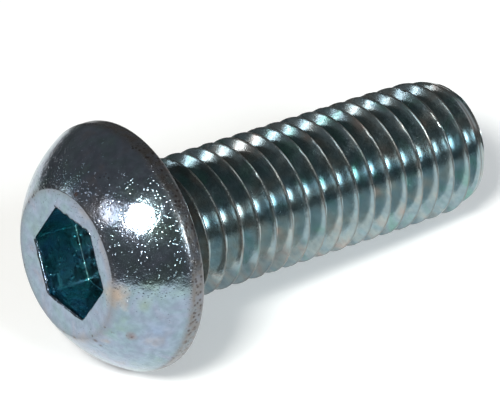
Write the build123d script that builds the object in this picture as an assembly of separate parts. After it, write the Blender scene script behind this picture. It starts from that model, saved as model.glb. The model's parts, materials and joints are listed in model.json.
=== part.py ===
from build123d import *
from math import asin, atan2, degrees, hypot
import os

# Hexagon socket button head screw, M12 x 1.75, nominally 35 mm under the head, in millimetres.
# It is one cold-headed piece of steel with a rolled thread. The shank is held at the thread's
# full diameter, which is the size of the hole that it needs; the helix itself isn't cut here.
# It is built about its own axis: the bearing face under the head is at height 0, the head hangs
# below it and the tip points up. Last of all it is laid on its side, as it comes to rest.

# Head
HEAD_DIA = 21.0
HEAD_HEIGHT = 6.2
RIM_HEIGHT = 1.25  # plain band round the head's edge
RIM_FOOT_ROUND = 0.45  # where the band meets the bearing face
FLAT_TOP_DIA = 12.6  # flat ring left round the socket
DOME_RISE = 0.45  # height of the dome's arc over its chord

# Hexagon socket
SOCKET_FLATS = 8.0
SOCKET_DEPTH = 4.1
SOCKET_FLOOR_DIA = 6.6  # shallow cone that the punch leaves in the floor
SOCKET_FLOOR_DEPTH = 0.6
SOCKET_TURN = 28.0  # degrees from straight down, as the screw lies, to a corner

# Neck, between the bearing face and the thread
NECK_DIA = 10.9  # about the thread's pitch diameter
NECK_LENGTH = 1.6
NECK_ROUND = 0.6  # fillet under the head
RUNOUT_LENGTH = 1.0  # over which the neck widens to the thread

# Threaded shank, ISO metric coarse
THREAD_DIA = 12.0
SHANK_LENGTH = 34.5  # from the bearing face to the end
LEAD_LENGTH = 2.4  # taper of the incomplete threads at the tip, with its chamfer
LEAD_DIA = 10.5
END_CHAMFER = 0.4

PAST = 0.5  # how far the socket's cutter stands out of its mouth

HEAD_R = HEAD_DIA / 2
THREAD_R = THREAD_DIA / 2


def revolved(section):
    """Solid of revolution about the axis from a section drawn as (radius, height)."""
    return revolve(Plane.XZ * section, Axis.Z)


def blank():
    """Domed head, plain rim, filleted neck and shank, turned in one piece."""
    flat_r = FLAT_TOP_DIA / 2
    neck_r = NECK_DIA / 2
    lead_r = LEAD_DIA / 2
    section = make_face(
        [
            Line((0, -HEAD_HEIGHT), (flat_r, -HEAD_HEIGHT)),
            SagittaArc((flat_r, -HEAD_HEIGHT), (HEAD_R, -RIM_HEIGHT), -DOME_RISE),
            Polyline(
                (HEAD_R, -RIM_HEIGHT),
                (HEAD_R, 0),
                (neck_r, 0),
                (neck_r, NECK_LENGTH),
                (THREAD_R, NECK_LENGTH + RUNOUT_LENGTH),
                (THREAD_R, SHANK_LENGTH - LEAD_LENGTH),
                (lead_r, SHANK_LENGTH - END_CHAMFER),
                (lead_r - END_CHAMFER, SHANK_LENGTH),
                (0, SHANK_LENGTH),
                (0, -HEAD_HEIGHT),
            ),
        ]
    )
    rounds = (
        (HEAD_R, 0, RIM_FOOT_ROUND),
        (neck_r, 0, NECK_ROUND),
    )
    for radius, height, size in rounds:
        corner = section.vertices().sort_by_distance((radius, height))[0]
        section = fillet(corner, size)
    return revolved(section)


def socket():
    """Hexagon hole with a shallow cone in its floor."""
    mouth = -HEAD_HEIGHT - PAST
    floor_height = SOCKET_DEPTH - HEAD_HEIGHT
    floor_r = SOCKET_FLOOR_DIA / 2
    hexagon = RegularPolygon(
        SOCKET_FLATS / 2, 6, major_radius=False, rotation=SOCKET_TURN
    )
    hole = Pos(0, 0, mouth) * extrude(hexagon, SOCKET_DEPTH + PAST)
    cone = revolved(
        make_face(
            Polyline(
                (0, floor_height - PAST),
                (floor_r, floor_height - PAST),
                (floor_r, floor_height),
                (0, floor_height + SOCKET_FLOOR_DEPTH),
                (0, floor_height - PAST),
            )
        )
    )
    return hole + cone


def lying_tilt():
    """Degrees that the axis falls towards the tip when the rim and the thread touch the floor."""
    along = SHANK_LENGTH - LEAD_LENGTH + RIM_FOOT_ROUND
    inward = HEAD_R - RIM_FOOT_ROUND - THREAD_R
    touch = asin(RIM_FOOT_ROUND / hypot(along, inward))
    return degrees(touch + atan2(inward, along))


screw = blank() - socket()
lying = Rot(0, 90 + lying_tilt(), 0) * screw

os.makedirs("parts", exist_ok=True)
export_step(lying, "parts/button_head_screw.step")
print(f"axis falls {lying_tilt():.3f} degrees towards the tip")
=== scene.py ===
"""Dresses the button head screw: rolled thread, cold-headed dome, hexagon socket and zinc plating."""

import json
import math

import bmesh
import bpy
from bpy.props import FloatProperty, FloatVectorProperty, PointerProperty
from mathutils import Matrix, Vector, noise


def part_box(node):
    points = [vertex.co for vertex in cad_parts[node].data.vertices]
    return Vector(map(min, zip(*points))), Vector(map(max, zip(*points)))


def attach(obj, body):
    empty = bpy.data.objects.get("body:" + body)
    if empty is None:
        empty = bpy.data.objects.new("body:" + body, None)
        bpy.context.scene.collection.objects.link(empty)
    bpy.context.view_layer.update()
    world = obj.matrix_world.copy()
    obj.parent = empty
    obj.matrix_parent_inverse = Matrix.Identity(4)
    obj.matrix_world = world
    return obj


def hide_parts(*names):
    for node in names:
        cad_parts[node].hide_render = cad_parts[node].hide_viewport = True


bl_info = {
    "name": "Button Head Screw",
    "version": (1, 0, 0),
    "blender": (4, 5, 0),
    "location": "View3D > Sidebar > Screw",
    "description": "Models and finishes a zinc plated button head screw around its fixed frame",
    "category": "Object",
}

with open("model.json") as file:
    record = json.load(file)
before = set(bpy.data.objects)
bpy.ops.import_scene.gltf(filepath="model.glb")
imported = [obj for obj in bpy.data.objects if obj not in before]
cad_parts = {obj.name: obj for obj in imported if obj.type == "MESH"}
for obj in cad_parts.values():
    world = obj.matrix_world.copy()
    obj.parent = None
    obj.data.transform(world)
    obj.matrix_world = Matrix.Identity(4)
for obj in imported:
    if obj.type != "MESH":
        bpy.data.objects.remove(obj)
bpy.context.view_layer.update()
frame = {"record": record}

NODE = "button_head_screw"
MM = 0.001
MOUNTS = {mount["name"]: mount for mount in frame["record"]["mounts"]}
AXIS = Vector(MOUNTS["head_seat"]["axis"]).normalized()
SEAT = Vector(MOUNTS["head_seat"]["pos_m"])
DRIVE = Vector(MOUNTS["hex_drive"]["pos_m"])
LOW, HIGH = (Vector(corner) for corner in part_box(NODE))
FLOOR_HEIGHT = LOW.z
HEAD_RADIUS = (HIGH.y - LOW.y) / 2
HEAD_HEIGHT = (DRIVE - SEAT).length
SOCKET_DEPTH = MOUNTS["hex_drive"]["dims"]["length_mm"] * MM
THREAD_RADIUS = MOUNTS["thread"]["dims"]["r_mm"] * MM


def linear(code):
    """Linear colour of an sRGB hex code such as #C3CFD6."""
    channels = [int(code[i : i + 2], 16) / 255 for i in (1, 3, 5)]
    return tuple(c / 12.92 if c <= 0.04045 else ((c + 0.055) / 1.055) ** 2.4 for c in channels)


class HeadSizes(bpy.types.PropertyGroup):
    """The domed head and its rim."""

    radius: FloatProperty(
        name="Head radius",
        description="Outside radius of the rim",
        default=HEAD_RADIUS,
        unit="LENGTH",
    )
    height: FloatProperty(
        name="Head height",
        description="Flat top to bearing face",
        default=HEAD_HEIGHT,
        unit="LENGTH",
    )
    flat_radius: FloatProperty(
        name="Flat radius",
        description="Outside radius of the flat ring",
        default=6.3 * MM,
        unit="LENGTH",
    )
    dome_rise: FloatProperty(
        name="Dome rise",
        description="Height of the dome's arc over its chord",
        default=0.45 * MM,
        unit="LENGTH",
    )
    rim_height: FloatProperty(
        name="Rim height",
        description="Height of the plain band at the edge",
        default=1.25 * MM,
        unit="LENGTH",
    )
    rim_round: FloatProperty(
        name="Rim rounding",
        description="Radius where the band meets the bearing face",
        default=0.45 * MM,
        unit="LENGTH",
    )


class SocketSizes(bpy.types.PropertyGroup):
    """The hexagon hole for the key."""

    flats: FloatProperty(
        name="Across flats",
        description="Distance between opposite walls",
        default=8.08 * MM,
        unit="LENGTH",
    )
    depth: FloatProperty(
        name="Socket depth",
        description="Mouth to the floor's edge",
        default=SOCKET_DEPTH,
        unit="LENGTH",
    )
    cone_depth: FloatProperty(
        name="Cone depth",
        description="Further depth at the middle of the floor",
        default=0.6 * MM,
        unit="LENGTH",
    )
    cone_radius: FloatProperty(
        name="Cone radius",
        description="Radius of the cone in the floor",
        default=3.3 * MM,
        unit="LENGTH",
    )
    broken_edge: FloatProperty(
        name="Broken edge",
        description="Width of the worn edge round the mouth",
        default=0.16 * MM,
        unit="LENGTH",
    )
    lip: FloatProperty(
        name="Raised lip",
        description="Height of the burr that the punch left",
        default=0.03 * MM,
        unit="LENGTH",
    )
    turn: FloatProperty(
        name="Turn",
        description="Angle of a corner from straight down",
        default=math.radians(28.0),
        subtype="ANGLE",
    )
    blunt: FloatProperty(
        name="Blunt corners",
        description="How much the walls' corners are blunted",
        default=0.05 * MM,
        unit="LENGTH",
    )
    punch_rise: FloatProperty(
        name="Punch rise",
        description="How far the punch struck above the head's middle",
        default=0.22 * MM,
        unit="LENGTH",
    )
    punch_side: FloatProperty(
        name="Punch side",
        description="How far the punch struck towards -Y",
        default=0.36 * MM,
        unit="LENGTH",
    )


class ThreadSizes(bpy.types.PropertyGroup):
    """The rolled right-hand thread, its neck and its tip."""

    radius: FloatProperty(
        name="Crest radius",
        description="Radius over the crests",
        default=THREAD_RADIUS - 0.04 * MM,
        unit="LENGTH",
    )
    pitch: FloatProperty(
        name="Pitch",
        description="Distance from one crest to the next",
        default=1.75 * MM,
        unit="LENGTH",
    )
    depth: FloatProperty(
        name="Thread depth", description="Crest to root", default=1.2 * MM, unit="LENGTH"
    )
    turn: FloatProperty(
        name="Start angle",
        description="Angle of the crest at the bearing face",
        default=math.radians(183.0),
        subtype="ANGLE",
    )
    neck_radius: FloatProperty(
        name="Neck radius",
        description="Plain neck under the head",
        default=5.45 * MM,
        unit="LENGTH",
    )
    neck_length: FloatProperty(
        name="Neck length",
        description="Bearing face to the first thread",
        default=1.6 * MM,
        unit="LENGTH",
    )
    neck_round: FloatProperty(
        name="Neck fillet", description="Fillet under the head", default=0.6 * MM, unit="LENGTH"
    )
    length: FloatProperty(
        name="Length",
        description="Bearing face to the end of the tip",
        default=34.5 * MM,
        unit="LENGTH",
    )
    crest_width: FloatProperty(
        name="Crest width",
        description="Flat left along the crest",
        default=0.08 * MM,
        unit="LENGTH",
    )
    crest_round: FloatProperty(
        name="Crest rounding",
        description="Softness of the crest's edges",
        default=0.035 * MM,
        unit="LENGTH",
    )
    root_round: FloatProperty(
        name="Root rounding",
        description="Softness of the root's corners",
        default=0.1 * MM,
        unit="LENGTH",
    )
    nick: FloatProperty(
        name="Crest nicks",
        description="Depth of the deepest dents along the crests",
        default=0.045 * MM,
        unit="LENGTH",
    )


class StageSizes(bpy.types.PropertyGroup):
    """The floor and the camera."""

    paper_radius: FloatProperty(
        name="Paper radius", description="Radius of the white paper", default=90 * MM, unit="LENGTH"
    )
    paper_shift: FloatProperty(
        name="Paper shift",
        description="How far the paper lies towards -Y",
        default=22 * MM,
        unit="LENGTH",
    )
    table_radius: FloatProperty(
        name="Table radius", description="Radius of the grey table", default=2.0, unit="LENGTH"
    )
    azimuth: FloatProperty(
        name="Azimuth",
        description="Camera's turn from looking along +Y",
        default=math.radians(-37.67),
        subtype="ANGLE",
    )
    elevation: FloatProperty(
        name="Elevation",
        description="Camera's height above the horizon",
        default=math.radians(36.9),
        subtype="ANGLE",
    )
    distance: FloatProperty(
        name="Distance",
        description="Camera to the point that it looks at",
        default=350.5 * MM,
        unit="LENGTH",
    )
    lens: FloatProperty(
        name="Lens",
        description="Focal length on a 36 mm sensor",
        default=303.2,
        subtype="DISTANCE_CAMERA",
    )


class HeadColours(bpy.types.PropertyGroup):
    """The zinc film on the cold-headed head."""

    first: FloatVectorProperty(
        name="Green film", description="Where the film is thinnest",
        default=linear("#869C9C"), subtype="COLOR", min=0.0, max=1.0
    )
    second: FloatVectorProperty(
        name="Blue film", description="Commonest colour of the head",
        default=linear("#899CA8"), subtype="COLOR", min=0.0, max=1.0
    )
    third: FloatVectorProperty(
        name="Lavender film", description="Where the film is a little thicker",
        default=linear("#8E9AAC"), subtype="COLOR", min=0.0, max=1.0
    )
    fourth: FloatVectorProperty(
        name="Grey film", description="Where the film is thickest",
        default=linear("#9A9CA4"), subtype="COLOR", min=0.0, max=1.0
    )
    worn: FloatVectorProperty(
        name="Worn zinc", description="Rubbed edges of the rim and the flat ring",
        default=linear("#7A7877"), subtype="COLOR", min=0.0, max=1.0
    )
    pit: FloatVectorProperty(
        name="Pits", description="Small dark pits",
        default=linear("#4E4644"), subtype="COLOR", min=0.0, max=1.0
    )


class SocketColours(bpy.types.PropertyGroup):
    """The thick petrol blue film in the punched socket."""

    first: FloatVectorProperty(
        name="Green film", description="Where the film is thinnest",
        default=linear("#44A09A"), subtype="COLOR", min=0.0, max=1.0
    )
    second: FloatVectorProperty(
        name="Cyan film", description="Commonest colour of the walls",
        default=linear("#7CC6CC"), subtype="COLOR", min=0.0, max=1.0
    )
    third: FloatVectorProperty(
        name="Blue film", description="Where the film is a little thicker",
        default=linear("#86B8D8"), subtype="COLOR", min=0.0, max=1.0
    )
    fourth: FloatVectorProperty(
        name="Dull green film", description="Where the film is thickest",
        default=linear("#5C9A96"), subtype="COLOR", min=0.0, max=1.0
    )
    # Near-black colour that the cone and floor rows take in full: darker at the bottom of the socket.
    worn: FloatVectorProperty(
        name="Floor", description="The socket floor's dull metal",
        default=linear("#34363E"), subtype="COLOR", min=0.0, max=1.0
    )
    pit: FloatVectorProperty(
        name="Stains", description="Dark stains on the walls",
        default=linear("#181C20"), subtype="COLOR", min=0.0, max=1.0
    )


class ThreadColours(bpy.types.PropertyGroup):
    """The zinc film on the rolled thread."""

    first: FloatVectorProperty(
        name="Green film", description="Where the film is thinnest",
        default=linear("#7C9F99"), subtype="COLOR", min=0.0, max=1.0
    )
    second: FloatVectorProperty(
        name="Teal film", description="Commonest colour of the flanks",
        default=linear("#8B9FA6"), subtype="COLOR", min=0.0, max=1.0
    )
    third: FloatVectorProperty(
        name="Grey film", description="Where the film is a little thicker",
        default=linear("#9CA8A8"), subtype="COLOR", min=0.0, max=1.0
    )
    fourth: FloatVectorProperty(
        name="Warm film", description="Where the film is thickest",
        default=linear("#ACA5A0"), subtype="COLOR", min=0.0, max=1.0
    )
    worn: FloatVectorProperty(
        name="Worn crests", description="Rubbed line along the crests",
        default=linear("#6A625C"), subtype="COLOR", min=0.0, max=1.0
    )
    pit: FloatVectorProperty(
        name="Pits", description="Small dark pits",
        default=linear("#3C4448"), subtype="COLOR", min=0.0, max=1.0
    )


class StageColours(bpy.types.PropertyGroup):
    """Paper, table and room."""

    paper: FloatVectorProperty(
        name="Paper", description="The white paper under the screw",
        default=linear("#F8F8F8"), subtype="COLOR", min=0.0, max=1.0
    )
    table: FloatVectorProperty(
        name="Table", description="The grey table that the paper lies on",
        default=linear("#616161"), subtype="COLOR", min=0.0, max=1.0
    )
    room: FloatVectorProperty(
        name="Room", description="The dim room all round",
        default=linear("#686766"), subtype="COLOR", min=0.0, max=1.0
    )


SEGMENTS = 192  # columns round the axis, a multiple of six so that the socket's corners are columns
CREST_STEPS = (-0.5, -0.43, -0.36, -0.29, -0.22, -0.16, -0.11, -0.075, -0.045, -0.015,
               0.015, 0.045, 0.075, 0.11, 0.16, 0.22, 0.29, 0.36, 0.43)
FLANK = math.tan(math.radians(60))  # radial fall of a 60 degree thread for each step along the axis


def lerp(a, b, t):
    """Value between a and b."""
    return a + (b - a) * t


# --- screw mesh ----------------------------------------------------------------------------------


def smooth_corners(points, rounds, steps=6):
    """An outline whose listed corners, index to length, are rounded off with short curves."""
    result = []
    for i, point in enumerate(points):
        if i not in rounds:
            result.append(point)
            continue
        corner = Vector(point)
        before = corner + (Vector(points[i - 1]) - corner).normalized() * rounds[i]
        after = corner + (Vector(points[i + 1]) - corner).normalized() * rounds[i]
        for k in range(steps + 1):
            t = k / steps
            result.append(tuple(before.lerp(corner, t).lerp(corner.lerp(after, t), t)))
    return result


def dome(head, steps=26):
    """Points (radius, height) from the flat ring to the rim, bulged by the dome's rise."""
    start = Vector((head.flat_radius, -head.height))
    end = Vector((head.radius, -head.rim_height))
    chord = end - start
    outward = Vector((chord.y, -chord.x)).normalized()
    points = []
    for i in range(steps + 1):
        t = i / steps
        points.append(tuple(start + chord * t + outward * (4 * head.dome_rise * t * (1 - t))))
    return points


def head_outline(head, thread):
    """Points (radius, height) from inside the flat ring, over the dome and rim, to the neck."""
    inner = [(head.flat_radius - RING_INSET, -head.height)]
    curve = dome(head)
    under = [(head.radius, 0.0), (thread.neck_radius, 0.0), (thread.neck_radius, thread.neck_length)]
    points = inner + curve + under
    foot = len(inner) + len(curve)
    rounds = {
        1: 0.06 * MM,
        foot - 1: 0.12 * MM,
        foot: head.rim_round,
        foot + 1: thread.neck_round,
    }
    return smooth_corners(points, rounds)


def hexagon_radius(angle, socket):
    """Distance from the axis to the socket's wall at an angle, with its corners a little blunt."""
    sixth = math.pi / 3
    turned = (angle - socket.turn) % sixth - sixth / 2
    corner = socket.flats / 2 / math.cos(sixth / 2)
    return min(socket.flats / 2 / math.cos(turned), corner - socket.blunt)


def angles(socket):
    """The columns' angles round the axis, starting at a corner of the socket."""
    return [socket.turn + 2 * math.pi * j / SEGMENTS for j in range(SEGMENTS)]


CONE_ROWS = (0.15, 0.3, 0.5, 0.7, 0.85, 1.0)  # shares of the cone's radius
FLOOR_ROWS = (0.4, 0.8, 0.93)  # shares of the way from the cone to the walls
WALL_ROWS = (0.05, 0.2, 0.4, 0.6, 0.8, 0.95, 1.0)  # shares of the way up the walls
RING_ROWS = (0.1, 0.3, 0.55, 0.8)  # shares of the way from the lip to the flat ring's border
RING_INSET = 0.5 * MM  # from the flat ring's border to the last row inside it
FLOOR_GROOVE = 0.08 * MM  # groove that the punch leaves along the walls' foot
RAGGED_SCALE = 7  # how closely the mouth's edge wanders round the hexagon
RAGGED_SHARE = 0.5  # share of the broken edge that wanders


def socket_rows(head, socket):
    """Rows of (radius, height) for each column, from the floor's cone up the walls to the flat ring."""
    floor = socket.depth - head.height
    columns = angles(socket)
    walls = [hexagon_radius(angle, socket) for angle in columns]
    ragged = []
    for angle in columns:
        place = Vector((math.cos(angle), math.sin(angle), 0.3)) * RAGGED_SCALE
        ragged.append(socket.broken_edge * (1 + RAGGED_SHARE * noise.noise(place)))
    rows = []
    for t in CONE_ROWS:
        rows.append([(socket.cone_radius * t, floor + socket.cone_depth * (1 - t))] * SEGMENTS)
    for t in FLOOR_ROWS:
        rows.append([(lerp(socket.cone_radius, wall, t), floor) for wall in walls])
    rows.append([(wall, floor - FLOOR_GROOVE) for wall in walls])
    for t in WALL_ROWS:
        rows.append([(w, lerp(floor, e * 1.4 - head.height, t)) for w, e in zip(walls, ragged)])
    rows.append([(w + e * 0.3, e * 0.35 - head.height) for w, e in zip(walls, ragged)])
    rows.append([(w + e, -head.height - socket.lip * e / socket.broken_edge) for w, e in zip(walls, ragged)])
    ring = head.flat_radius - RING_INSET
    for t in RING_ROWS:
        rows.append([(lerp(w + e, ring, t), -head.height) for w, e in zip(walls, ragged)])
    return rows


NICKED_STEP = 0.12  # pitches from the crest's middle over which nicks and waves fade
WORN_STEP = 0.06  # pitches from the crest's middle over which wear fades
DENT_SCALE, DENT_START, DENT_GAIN = 4.1, 0.15, 2.2  # spacing, threshold and steepness of the dents
WAVE_SCALE, WAVE_SHARE = 0.6, 0.25  # spacing and share of the slow wander of the crests
START_PITCHES = 1.4  # pitches over which the thread grows out of the neck


def thread_radius(thread, height, step, angle):
    """Radius of the thread at a height, a step of pitches from the nearest crest and an angle."""
    fall = (abs(step) * thread.pitch - thread.crest_width / 2) * FLANK
    fall = 0.5 * (fall + math.hypot(fall, thread.crest_round))
    short = thread.depth - fall
    fall = thread.depth - 0.5 * (short + math.hypot(short, thread.root_round))
    place = Vector((math.cos(angle), math.sin(angle), 0)) * 3.2 + Vector((0, 0, height / MM * 0.9))
    dent = max(0.0, noise.noise(place * DENT_SCALE) - DENT_START) * DENT_GAIN
    crest = max(0.0, 1 - abs(step) / NICKED_STEP)
    wave = noise.noise(place * WAVE_SCALE) * WAVE_SHARE
    radius = thread.radius - fall - thread.nick * (dent + wave) * crest
    rise = min(1.0, max(0.0, (height - thread.neck_length) / (START_PITCHES * thread.pitch)))
    radius = lerp(thread.neck_radius, radius, rise * rise * (3 - 2 * rise))
    return min(radius, tip_radius(thread, height))


TIP_STATIONS = (  # distance before the end and drop below the crests, in millimetres
    (7.4, 0.0),
    (2.4, 0.1),
    (0.42, 0.71),
    (0.14, 0.88),
    (0.0, 1.16),
)


def tip_radius(thread, height):
    """Radius of the blank that the crests are held to: incomplete threads, then a rounded end."""
    full = thread.radius
    stations = [(thread.length - back * MM, full - drop * MM) for back, drop in TIP_STATIONS]
    if height <= stations[0][0]:
        return full
    for (low, a), (high, b) in zip(stations, stations[1:]):
        if height <= high:
            return lerp(a, b, (height - low) / (high - low))
    return stations[-1][1]


class Skin:
    """Grows the screw's mesh outward from the socket's floor, one ring of points at a time."""

    def __init__(self, columns):
        self.mesh = bmesh.new()
        self.columns = columns
        self.worn = self.mesh.verts.layers.float.new("worn")

    def point(self, radius, height, angle, worn=0.0):
        """A vertex at a radius, a height and an angle from straight down, with how worn it is."""
        vertex = self.mesh.verts.new((radius * math.cos(angle), radius * math.sin(angle), height))
        vertex[self.worn] = worn
        return vertex

    def face(self, corners, material):
        """A face on the corners that are left once repeats are dropped."""
        kept = list(dict.fromkeys(corners))
        if len(kept) < 3:
            return
        if self.mesh.faces.get(kept) is None:
            self.mesh.faces.new(kept).material_index = material

    def ring(self, row, worn=0.0):
        """Vertices for one row of (radius, height), one for each column."""
        return [self.point(r, h, angle, worn) for (r, h), angle in zip(row, self.columns)]

    def shift(self, ring, offset):
        """Moves a ring's vertices sideways."""
        for vertex in ring:
            vertex.co += offset

    def band(self, inner, outer, material):
        """Faces between two rings."""
        for j in range(SEGMENTS):
            k = (j + 1) % SEGMENTS
            self.face((inner[j], inner[k], outer[k], outer[j]), material)

    def cap(self, ring, height, material):
        """A fan of faces from a ring to a point on the axis."""
        pole = self.point(0, height, 0)
        for j in range(SEGMENTS):
            self.face((ring[j], ring[(j + 1) % SEGMENTS], pole), material)


def wind_thread(skin, thread, start, end, material):
    """Covers the shank between two rings with rows that follow the helix."""
    low, high = thread.neck_length, thread.length
    per_turn = len(CREST_STEPS)
    first_turn = math.floor(low / thread.pitch) - 2
    turns = math.ceil(high / thread.pitch) - first_turn + 3
    snap = 0.004 * MM
    grid = []
    for turn in range(first_turn, first_turn + turns):
        for step in CREST_STEPS:
            row = []
            for j, angle in enumerate(skin.columns):
                height = thread.pitch * (turn + step + (angle - thread.turn) / (2 * math.pi))
                if height < low + snap:
                    row.append(start[j])
                elif height > high - snap:
                    row.append(end[j])
                else:
                    radius = thread_radius(thread, height, step, angle)
                    row.append(skin.point(radius, height, angle, max(0.0, 1 - abs(step) / WORN_STEP)))
            grid.append(row)
    for i in range(len(grid) - per_turn - 1):
        for j in range(SEGMENTS - 1):
            skin.face((grid[i][j], grid[i][j + 1], grid[i + 1][j + 1], grid[i + 1][j]), material)
        seam_low, seam_high = grid[i + per_turn][0], grid[i + per_turn + 1][0]
        skin.face((grid[i][-1], seam_low, seam_high, grid[i + 1][-1]), material)


def end_ring_row(skin, thread):
    """Radii of the ring at the tip's end, where the groove runs out."""
    row = []
    for angle in skin.columns:
        pitches = thread.length / thread.pitch - (angle - thread.turn) / (2 * math.pi)
        step = pitches - round(pitches)
        row.append((thread_radius(thread, thread.length, step, angle), thread.length))
    return row


HEAD, SOCKET, THREAD = range(3)  # material slots of the screw's mesh
TIP_DISH = ((0.8, 0.06), (0.55, 0.16), (0.3, 0.24))  # shares of the radius, depths in millimetres
TIP_DISH_DEPTH = 0.28 * MM
UNDERSIDE = -0.02 * MM  # above this height the head is its bearing face, plated like the thread


def head_wear(head, radius, height):
    """How worn the head is: most along the rim and the flat ring's border."""
    if height > -head.height / 2:
        return min(1.0, max(0.0, 1 + (height + head.rim_height) / (0.5 * MM)))
    return 0.6 * max(0.0, 1 - abs(radius - head.flat_radius) / (0.6 * MM))


def screw_mesh(head, socket, thread):
    """One closed mesh of the whole screw about its own axis."""
    skin = Skin(angles(socket))
    rings = []
    for i, row in enumerate(socket_rows(head, socket)):
        # The cone and floor rows count as fully worn: they take the socket's near-black floor colour and
        # more of its dark stains, darker at the bottom of the socket.
        rings.append(skin.ring(row, 1.0 if i < len(CONE_ROWS + FLOOR_ROWS) else 0.0))
    wall_top = len(CONE_ROWS + FLOOR_ROWS + WALL_ROWS)  # one more row lies along the walls' foot
    mouth = wall_top + 2  # the lip's row, past the broken edge
    offset = Vector((-socket.punch_rise, -socket.punch_side, 0))
    for i, ring in enumerate(rings):
        past_mouth = max(0, i - mouth) / (len(rings) - mouth)
        skin.shift(ring, offset * (1 - past_mouth))
    skin.cap(rings[0], socket.depth + socket.cone_depth - head.height, SOCKET)
    for i, (inner, outer) in enumerate(zip(rings, rings[1:])):
        skin.band(inner, outer, SOCKET if i < wall_top else HEAD)
    last = rings[-1]
    for radius, height in head_outline(head, thread):
        ring = skin.ring([(radius, height)] * SEGMENTS, head_wear(head, radius, height))
        # Rows above UNDERSIDE, the bearing face and the neck, come out fully worn in the thread's material:
        # its dark worn colour all over, darker under the head.
        skin.band(last, ring, THREAD if height > UNDERSIDE else HEAD)
        last = ring
    end = skin.ring(end_ring_row(skin, thread))
    wind_thread(skin, thread, last, end, THREAD)
    last = end
    for t, dish in TIP_DISH:
        row = [(lerp(0, r, t), thread.length - dish * MM) for r, _ in end_ring_row(skin, thread)]
        ring = skin.ring(row)
        skin.band(last, ring, THREAD)
        last = ring
    skin.cap(last, thread.length - TIP_DISH_DEPTH, THREAD)
    return skin.mesh


def finish_mesh(mesh, sharp_angle=math.radians(32)):
    """Turns all faces outward and leaves only real corners sharp."""
    bmesh.ops.dissolve_degenerate(mesh, dist=0.0005 * MM, edges=mesh.edges)
    bmesh.ops.recalc_face_normals(mesh, faces=mesh.faces)
    for face in mesh.faces:
        face.smooth = True
    for edge in mesh.edges:
        edge.smooth = edge.calc_face_angle(0.0) < sharp_angle


def lying():
    """Turns the screw's own axis onto the frame's: local X is straight down as it lies."""
    side = Vector((0, 1, 0))
    down = side.cross(AXIS)
    turn = Matrix((down, side, AXIS)).transposed()
    return Matrix.Translation(SEAT) @ turn.to_4x4()


# --- materials -----------------------------------------------------------------------------------


def add(tree, kind, inputs=None, **settings):
    """A node with its settings, and its inputs linked or set."""
    node = tree.nodes.new(kind)
    for name, value in settings.items():
        setattr(node, name, value)
    for name, value in (inputs or {}).items():
        if isinstance(value, bpy.types.NodeSocket):
            tree.links.new(value, node.inputs[name])
        else:
            node.inputs[name].default_value = value
    return node


def per_metre(millimetres):
    """Texture scale for a pattern whose features are about that size."""
    return 1000 / millimetres


def film_colours(tree, value, colours):
    """The film's colour for a value of noise, from its first colour to its fourth as it thickens."""
    ramp = add(tree, "ShaderNodeValToRGB", {"Fac": value})
    elements = ramp.color_ramp.elements
    elements[0].position, elements[1].position = 0.3, 0.71
    elements[0].color = (*colours.first, 1)
    elements[1].color = (*colours.fourth, 1)
    elements.new(0.45).color = (*colours.second, 1)
    elements.new(0.58).color = (*colours.third, 1)
    return ramp.outputs["Color"]


def new_material(name):
    """A material with an empty tree, its output and the object's own coordinates."""
    material = bpy.data.materials.new(name)
    material.use_nodes = True
    tree = material.node_tree
    tree.nodes.clear()
    output = add(tree, "ShaderNodeOutputMaterial")
    place = add(tree, "ShaderNodeTexCoord").outputs["Object"]
    return material, tree, output, place


HEAD_STAINS = (  # centre from the bearing face's middle and radius in millimetres, colour
    ((-5.9, -6.5, 1.5), 1.5, "#AE9E90"),
    ((-5.0, -0.1, 7.4), 0.3, "#7A5A48"),
    ((-5.1, -7.5, -2.4), 0.6, "#857A7C"),
    ((-6.6, -4.5, -4.0), 0.3, "#5C504E"),
    ((-6.3, -4.8, -4.5), 0.25, "#5C504E"),
    ((-6.95, -2.1, -5.1), 0.3, "#5C504E"),
    ((-7.0, -0.7, -5.4), 0.25, "#5C504E"),
    ((-4.4, -8.4, 1.0), 0.8, "#90A29E"),
    ((-6.3, -6.2, -2.6), 0.9, "#8AA8A4"),
    ((-6.5, -5.6, -3.7), 0.6, "#A69A92"),
    ((-3.6, -9.0, -1.6), 1.3, "#8C9CB2"),
)


def stained(tree, place, colour, stains):
    """A colour with soft round stains, each a centre and a radius in millimetres, and a colour."""
    edge = add(tree, "ShaderNodeTexNoise", {"Vector": place, "Scale": per_metre(0.7), "Detail": 4.0})
    for centre, radius, code in stains:
        away = add(tree, "ShaderNodeVectorMath", {0: place, 1: SEAT + Vector(centre) * MM},
                   operation="DISTANCE")
        ragged = add(tree, "ShaderNodeMath", {0: edge.outputs["Fac"], 1: radius * MM,
                                              2: away.outputs["Value"]}, operation="MULTIPLY_ADD")
        amount = add(tree, "ShaderNodeMapRange", {"Value": ragged.outputs["Value"],
                                                  "From Min": radius * 1.5 * MM,
                                                  "From Max": radius * 0.6 * MM})
        mixed = add(tree, "ShaderNodeMix", {"Factor": amount.outputs["Result"], "A": colour,
                                            "B": (*linear(code), 1)}, data_type="RGBA")
        colour = mixed.outputs["Result"]
    return colour


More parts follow.
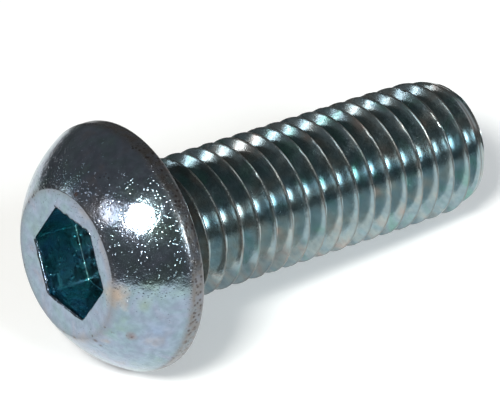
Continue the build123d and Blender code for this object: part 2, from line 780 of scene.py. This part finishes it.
def plated(name, colours, rough, grain, pocks, pits, stains=()):
    """Electroplated zinc on steel: a bright metal with a fine grain, faint colours and small pits.

    grain, pocks and pits are pairs in millimetres: how far apart, and how deep or, for pits, how wide.
    Plated zinc's own grain is too fine to see one by one. It is drawn coarser here, so that it shows.
    """
    material, tree, output, place = new_material(name)
    worn = add(tree, "ShaderNodeAttribute", attribute_name="worn").outputs["Fac"]
    drift = add(tree, "ShaderNodeTexNoise", {"Vector": place, "Scale": per_metre(2.8), "Detail": 3.0,
                                             "Roughness": 0.55, "Distortion": 0.5})
    blotch = add(tree, "ShaderNodeTexNoise", {"Vector": place, "Scale": per_metre(0.6), "Detail": 3.0})
    cover = add(tree, "ShaderNodeMapRange", {"Value": blotch.outputs["Fac"], "From Min": 0.35,
                                             "From Max": 0.6, "To Min": 0.55, "To Max": 1.0})
    scuffed = add(tree, "ShaderNodeMath", {0: worn, 1: cover.outputs["Result"]}, operation="MULTIPLY")
    tint = stained(tree, place, film_colours(tree, drift.outputs["Fac"], colours), stains)
    haze = add(tree, "ShaderNodeMapRange", {"Value": blotch.outputs["Fac"], "From Min": 0.36,
                                            "From Max": 0.64, "To Min": 0.88, "To Max": 1.08})
    mottled = add(tree, "ShaderNodeMix", {"Factor": 1.0, "A": tint, "B": haze.outputs["Result"]},
                  data_type="RGBA", blend_type="MULTIPLY")
    base = add(tree, "ShaderNodeMix", {"Factor": scuffed.outputs["Value"], "A": mottled.outputs["Result"],
                                       "B": (*colours.worn, 1)}, data_type="RGBA")
    cells = add(tree, "ShaderNodeTexVoronoi", {"Vector": place, "Scale": per_metre(pits[0])})
    patches = add(tree, "ShaderNodeTexNoise", {"Vector": place, "Scale": per_metre(1.6), "Detail": 2.0})
    spread = add(tree, "ShaderNodeMath", {0: worn, 1: 0.2, 2: patches.outputs["Fac"]},
                 operation="MULTIPLY_ADD")
    reach = add(tree, "ShaderNodeMapRange", {"Value": spread.outputs["Value"], "From Min": 0.56,
                                             "From Max": 0.78, "To Min": 0.0, "To Max": pits[1] / pits[0]})
    inside = add(tree, "ShaderNodeMath", {0: reach.outputs["Result"], 1: cells.outputs["Distance"]},
                 operation="SUBTRACT")
    pit = add(tree, "ShaderNodeMapRange", {"Value": inside.outputs["Value"], "From Max": 0.25,
                                           "To Max": 0.8})
    colour = add(tree, "ShaderNodeMix", {"Factor": pit.outputs["Result"], "A": base.outputs["Result"],
                                         "B": (*colours.pit, 1)}, data_type="RGBA")
    fine = add(tree, "ShaderNodeTexNoise", {"Vector": place, "Scale": per_metre(grain[0]), "Detail": 2.0,
                                            "Roughness": 0.7})
    dull = add(tree, "ShaderNodeMapRange", {"Value": fine.outputs["Fac"], "From Min": 0.3, "From Max": 0.7,
                                            "To Min": rough[0], "To Max": rough[1]})
    smudge = add(tree, "ShaderNodeMapRange", {"Value": patches.outputs["Fac"], "From Min": 0.45,
                                              "From Max": 0.7, "To Max": (rough[1] - rough[0]) / 2})
    smudged = add(tree, "ShaderNodeMath", {0: dull.outputs["Result"], 1: smudge.outputs["Result"]})
    duller = add(tree, "ShaderNodeMath", {0: worn, 1: 0.16, 2: smudged.outputs["Value"]},
                 operation="MULTIPLY_ADD")
    craters = add(tree, "ShaderNodeTexVoronoi", {"Vector": place, "Scale": per_metre(pocks[0])})
    width = add(tree, "ShaderNodeMapRange", {"Value": craters.outputs["Color"], "To Min": 0.06,
                                             "To Max": 0.6})
    crater = add(tree, "ShaderNodeMapRange", {"Value": craters.outputs["Distance"], "From Min": 0.0,
                                              "From Max": width.outputs["Result"]},
                 interpolation_type="SMOOTHSTEP")
    gather = add(tree, "ShaderNodeMapRange", {"Value": patches.outputs["Fac"], "From Min": 0.35,
                                              "From Max": 0.6, "To Min": 1.5, "To Max": 0.5})
    height = add(tree, "ShaderNodeMath", {0: crater.outputs["Result"], 1: gather.outputs["Result"]},
                 operation="MULTIPLY")
    pocked = add(tree, "ShaderNodeBump", {"Height": height.outputs["Value"], "Strength": 1.0,
                                          "Distance": pocks[1] * MM})
    raised = add(tree, "ShaderNodeBump", {"Height": fine.outputs["Fac"], "Strength": 1.0,
                                          "Distance": grain[1] * MM, "Normal": pocked.outputs["Normal"]})
    sunk = add(tree, "ShaderNodeBump", {"Height": pit.outputs["Result"], "Strength": 0.6,
                                        "Distance": 0.01 * MM, "Normal": raised.outputs["Normal"]},
               invert=True)
    shader = add(tree, "ShaderNodeBsdfPrincipled", {"Base Color": colour.outputs["Result"], "Metallic": 1.0,
                                                    "Roughness": duller.outputs["Value"],
                                                    "Normal": sunk.outputs["Normal"]})
    tree.links.new(shader.outputs["BSDF"], output.inputs["Surface"])
    return material


def headed_zinc(colours):
    """Cold-headed steel, zinc plated: bright and slightly frosted, with pale blue, lavender and straw."""
    return plated("zinc_plated_cold_headed_steel", colours, rough=(0.08, 0.18), grain=(0.16, 0.009),
                  pocks=(0.25, 0.019), pits=(0.34, 0.16), stains=HEAD_STAINS)


def punched_zinc(colours):
    """The punched socket's walls, where the passivation lies thicker and turns petrol blue."""
    return plated("zinc_plated_punched_socket", colours, rough=(0.12, 0.24), grain=(0.4, 0.01),
                  pocks=(0.45, 0.04), pits=(1.5, 1.0))


def rolled_zinc(colours):
    """The rolled thread: burnished by the dies, so smoother, with a teal to lavender film."""
    return plated("zinc_plated_rolled_thread", colours, rough=(0.11, 0.23), grain=(0.14, 0.0055),
                  pocks=(0.3, 0.001), pits=(0.5, 0.12))


# --- stage ---------------------------------------------------------------------------------------


def look_from(azimuth, elevation):
    """Direction from the object to a place at an azimuth and elevation."""
    level = math.cos(elevation)
    return Vector((math.sin(azimuth) * level, -math.cos(azimuth) * level, math.sin(elevation)))


def matt(name, colour, patch_mm, glow):
    """A matt stage surface with a faint mottle, seen a little brighter than it lights what is on it."""
    material, tree, output, place = new_material(name)
    mottle = add(tree, "ShaderNodeTexNoise", {"Vector": place, "Scale": per_metre(patch_mm), "Detail": 2.0})
    darker = [0.97 * channel for channel in colour]
    tone = add(tree, "ShaderNodeMix", {"Factor": mottle.outputs["Fac"], "A": (*darker, 1),
                                       "B": (*colour, 1)}, data_type="RGBA")
    shader = add(tree, "ShaderNodeBsdfPrincipled", {"Base Color": tone.outputs["Result"], "Roughness": 0.9,
                                                    "Specular IOR Level": 0.1})
    ray = add(tree, "ShaderNodeLightPath").outputs
    seen = add(tree, "ShaderNodeMath", {0: ray["Is Camera Ray"], 1: ray["Is Glossy Ray"]}, operation="ADD")
    seen = add(tree, "ShaderNodeMath", {0: seen.outputs["Value"], 1: ray["Is Transmission Ray"]},
               operation="ADD", use_clamp=True)
    strength = add(tree, "ShaderNodeMath", {0: seen.outputs["Value"], 1: glow}, operation="MULTIPLY")
    light = add(tree, "ShaderNodeEmission", {"Color": tone.outputs["Result"],
                                             "Strength": strength.outputs["Value"]})
    both = add(tree, "ShaderNodeAddShader", {0: shader.outputs["BSDF"], 1: light.outputs["Emission"]})
    tree.links.new(both.outputs["Shader"], output.inputs["Surface"])
    return material


def add_lamp(name, azimuth, elevation, distance, size, power, colour):
    """A rectangular lamp that faces the screw, with its angles in degrees."""
    data = bpy.data.lights.new(name, "AREA")
    data.shape = "RECTANGLE"
    data.size, data.size_y = size
    data.energy = power
    data.color = linear(colour)
    lamp = bpy.data.objects.new(name, data)
    target = (LOW + HIGH) / 2
    back = look_from(math.radians(azimuth), math.radians(elevation))
    lamp.location = target + back * distance
    lamp.rotation_euler = (-back).to_track_quat("-Z", "Y").to_euler()
    bpy.context.collection.objects.link(lamp)
    return lamp


def lay_down(name, radius, centre, material):
    """A flat round stage piece about a centre."""
    mesh = bpy.data.meshes.new(name)
    corners = [(radius * math.cos(a), radius * math.sin(a), 0) for a in
               (2 * math.pi * i / SEGMENTS for i in range(SEGMENTS))]
    mesh.from_pydata(corners, [], [tuple(range(SEGMENTS))])
    mesh.materials.append(material)
    piece = bpy.data.objects.new(name, mesh)
    piece.location = centre
    bpy.context.collection.objects.link(piece)


TABLE_DROP = 0.3 * MM  # from the paper's face to the table
AIM = SEAT + Vector((12.48, -0.23, -2.0)) * MM  # point that the camera looks at
LAMPS = (  # name, azimuth and elevation in degrees, distance and size in metres, watts, colour
    ("key", -60, 47, 0.6, (0.14, 0.14), 3.2, "#FFFFFA"),
    ("second", -94, 40, 0.6, (0.2, 0.12), 0.25, "#FFFFFF"),
    ("right_key", 8, 31, 0.6, (0.26, 0.16), 2.3, "#EEF9FF"),
    ("right_panel", 95, 15, 0.7, (0.45, 0.35), 0.22, "#F6F0F4"),
    ("back_box", -139, 16, 0.7, (0.12, 0.07), 0.2, "#F4FAFF"),
)


def build_floor(stage, colours):
    """A round of white paper under the screw, on a grey table."""
    paper = matt("matt_white_paper", colours.paper, 0.4, 0.15)
    table = matt("matt_grey_table", colours.table, 2.0, 0.0)
    middle = (-stage.paper_shift / 2, -stage.paper_shift, FLOOR_HEIGHT)
    lay_down("paper", stage.paper_radius, middle, paper)
    lay_down("table", stage.table_radius, (0, 0, FLOOR_HEIGHT - TABLE_DROP), table)


def build_world(colours):
    """A dark grey room round the table."""
    world = bpy.data.worlds.new("studio")
    bpy.context.scene.world = world
    world.use_nodes = True
    background = world.node_tree.nodes["Background"]
    background.inputs["Color"].default_value = (*colours.room, 1)
    background.inputs["Strength"].default_value = 1.0


def build_camera(stage):
    """A long lens that looks down over the head."""
    data = bpy.data.cameras.new("camera")
    data.sensor_width = 36
    data.lens = stage.lens
    data.clip_start = 0.01
    camera = bpy.data.objects.new("camera", data)
    back = look_from(stage.azimuth, stage.elevation)
    camera.location = AIM + back * stage.distance
    camera.rotation_mode = "QUATERNION"
    camera.rotation_quaternion = (-back).to_track_quat("-Z", "Y")
    bpy.context.collection.objects.link(camera)
    bpy.context.scene.camera = camera


# --- add-on --------------------------------------------------------------------------------------


class SCREW_OT_build(bpy.types.Operator):
    """Models the screw with its thread, socket and plating, and stands it for the solid node"""

    bl_idname = "screw.build"
    bl_label = "Build Screw"

    def execute(self, context):
        scene = context.scene
        skin = screw_mesh(scene.screw_sizes_head, scene.screw_sizes_socket, scene.screw_sizes_thread)
        skin.transform(lying())
        finish_mesh(skin)
        mesh = bpy.data.meshes.new("screw")
        skin.to_mesh(mesh)
        skin.free()
        if not mesh.polygons:
            raise RuntimeError("the screw's mesh came out empty")
        mesh.materials.append(headed_zinc(scene.screw_colours_head))
        mesh.materials.append(punched_zinc(scene.screw_colours_socket))
        mesh.materials.append(rolled_zinc(scene.screw_colours_thread))
        screw = bpy.data.objects.new("screw", mesh)
        bpy.context.collection.objects.link(screw)
        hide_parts(NODE)
        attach(screw, "root")
        return {"FINISHED"}


class SCREW_OT_stage(bpy.types.Operator):
    """Lays out the floor, the dim room, the lamps and the camera"""

    bl_idname = "screw.stage"
    bl_label = "Set Stage"

    def execute(self, context):
        stage = context.scene.screw_sizes_stage
        colours = context.scene.screw_colours_stage
        build_floor(stage, colours)
        build_world(colours)
        build_camera(stage)
        for lamp in LAMPS:
            add_lamp(*lamp)
        bpy.context.scene.view_settings.view_transform = "Standard"
        return {"FINISHED"}


class SCREW_PT_panel(bpy.types.Panel):
    """Sizes and steps of the screw"""

    bl_label = "Button Head Screw"
    bl_space_type = "VIEW_3D"
    bl_region_type = "UI"
    bl_category = "Screw"

    def draw(self, context):
        for group_name in GROUPS:
            group = getattr(context.scene, group_name)
            box = self.layout.box()
            for name in group.bl_rna.properties.keys():
                if name not in ("rna_type", "name"):
                    box.prop(group, name)
        for operator in (SCREW_OT_build, SCREW_OT_stage):
            self.layout.operator(operator.bl_idname)


GROUPS = {
    "screw_sizes_head": HeadSizes,
    "screw_sizes_socket": SocketSizes,
    "screw_sizes_thread": ThreadSizes,
    "screw_sizes_stage": StageSizes,
    "screw_colours_head": HeadColours,
    "screw_colours_socket": SocketColours,
    "screw_colours_thread": ThreadColours,
    "screw_colours_stage": StageColours,
}
CLASSES = (*GROUPS.values(), SCREW_OT_build, SCREW_OT_stage, SCREW_PT_panel)


def register():
    """Adds the classes and their settings to Blender."""
    for cls in CLASSES:
        bpy.utils.register_class(cls)
    for name, group in GROUPS.items():
        setattr(bpy.types.Scene, name, PointerProperty(type=group))


def unregister():
    """Takes the settings and classes out again."""
    for name in GROUPS:
        delattr(bpy.types.Scene, name)
    for cls in reversed(CLASSES):
        bpy.utils.unregister_class(cls)


def main():
    """Builds everything."""
    register()
    bpy.ops.screw.build()
    bpy.ops.screw.stage()


if __name__ == "__main__":
    main()
